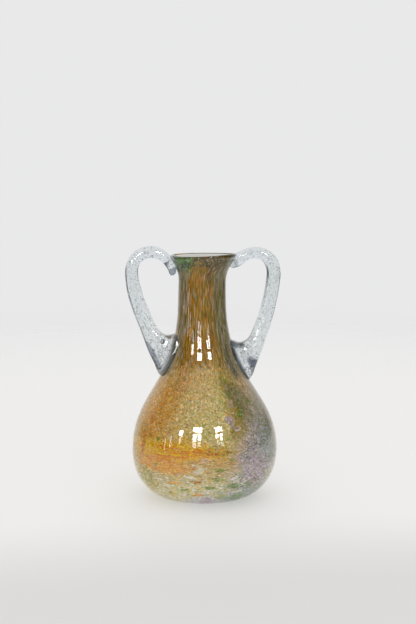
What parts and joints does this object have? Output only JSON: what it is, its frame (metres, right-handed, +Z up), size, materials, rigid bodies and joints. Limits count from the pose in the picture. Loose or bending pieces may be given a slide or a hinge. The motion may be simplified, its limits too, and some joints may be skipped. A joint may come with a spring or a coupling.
{
  "type": "vase",
  "caption": "Round-bellied blown glass vase with a tall narrow neck, flared lip and two curled strap handles; cased layers of white, speckled coloured and clear glass.",
  "frame": {"origin": "centre of the foot, on the plane that the vase stands on", "axes": "+Z up along the vase's axis; the two handles lie along X, left_handle on the -X side and right_handle on the +X side"},
  "size_m": [0.1282, 0.1206, 0.2069],
  "materials": {
    "white_glass": "opaque white opal glass, fire polished",
    "coloured_glass": "bed of fine amber, olive, lilac and orange glass chips, seen through the clear glass over it",
    "clear_glass": "clear, fire polished, very glossy",
    "handle_glass": "clear pale blue glass full of small bubbles, fire polished"
  },
  "bodies": {
    "root": {"white_lining": "white_glass", "colour_layer": "coloured_glass", "clear_casing": "clear_glass", "left_handle": "handle_glass", "right_handle": "handle_glass"}
  },
  "joints": []
}
